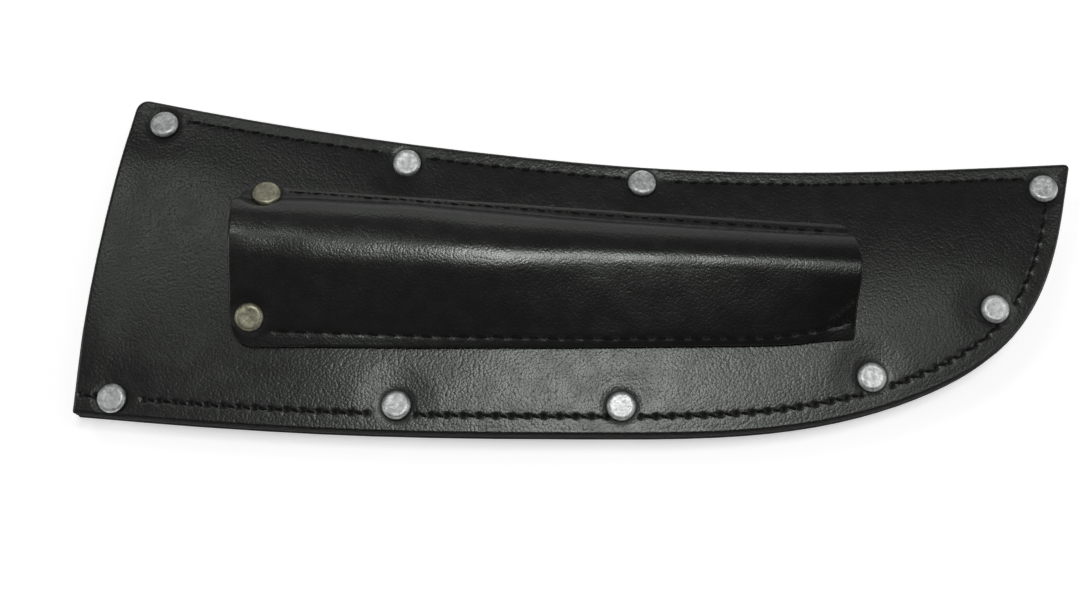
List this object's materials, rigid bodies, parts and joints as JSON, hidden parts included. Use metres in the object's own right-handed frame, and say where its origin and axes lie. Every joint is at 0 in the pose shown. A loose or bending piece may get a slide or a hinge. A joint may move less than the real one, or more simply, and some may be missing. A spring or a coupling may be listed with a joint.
{
  "type": "knife sheath",
  "caption": "Black leather knife sheath with curved belly, riveted and stitched edge, open-ended sleeve pocket on the front and belt loop on the back.",
  "frame": {"origin": "middle of the outline's box, at the level that the sheath rests on, which is the face of its belt loop", "axes": "+X along the sheath from the mouth to the tip, +Y from the belly edge to the spine edge, +Z out of the front face, where the pocket is"},
  "size_m": [0.2847, 0.0997, 0.029],
  "materials": {
    "panel_leather": "semi-gloss black, fine grain",
    "pocket_leather": "smooth semi-gloss black",
    "strap_leather": "semi-gloss black, fine grain",
    "welt_leather": "matt black, cut edge",
    "thread": "waxed black cord",
    "rivet_metal": "dull, lightly scratched",
    "pocket_rivet_metal": "dull pale brass"
  },
  "bodies": {
    "root": {"back_panel": "panel_leather", "belly_thread": "thread", "belly_welt": "welt_leather", "belt_loop": "strap_leather", "edge_rivet_1": "rivet_metal", "edge_rivet_2": "rivet_metal", "edge_rivet_3": "rivet_metal", "edge_rivet_4": "rivet_metal", "edge_rivet_5": "rivet_metal", "edge_rivet_6": "rivet_metal", "edge_rivet_7": "rivet_metal", "edge_rivet_8": "rivet_metal", "edge_rivet_9": "rivet_metal", "edge_rivet_cap_1": "rivet_metal", "edge_rivet_cap_2": "rivet_metal", "edge_rivet_cap_3": "rivet_metal", "edge_rivet_cap_4": "rivet_metal", "edge_rivet_cap_5": "rivet_metal", "edge_rivet_cap_6": "rivet_metal", "edge_rivet_cap_7": "rivet_metal", "edge_rivet_cap_8": "rivet_metal", "edge_rivet_cap_9": "rivet_metal", "front_panel": "panel_leather", "loop_lower_thread": "thread", "loop_rivet_1": "rivet_metal", "loop_rivet_2": "rivet_metal", "loop_rivet_3": "rivet_metal", "loop_rivet_4": "rivet_metal", "loop_rivet_cap_1": "rivet_metal", "loop_rivet_cap_2": "rivet_metal", "loop_rivet_cap_3": "rivet_metal", "loop_rivet_cap_4": "rivet_metal", "loop_upper_thread": "thread", "pocket": "pocket_leather", "pocket_lower_thread": "thread", "pocket_rivet_1": "pocket_rivet_metal", "pocket_rivet_2": "pocket_rivet_metal", "pocket_rivet_cap_1": "pocket_rivet_metal", "pocket_rivet_cap_2": "pocket_rivet_metal", "pocket_upper_thread": "thread", "spine_thread": "thread", "spine_welt": "welt_leather"}
  },
  "joints": []
}
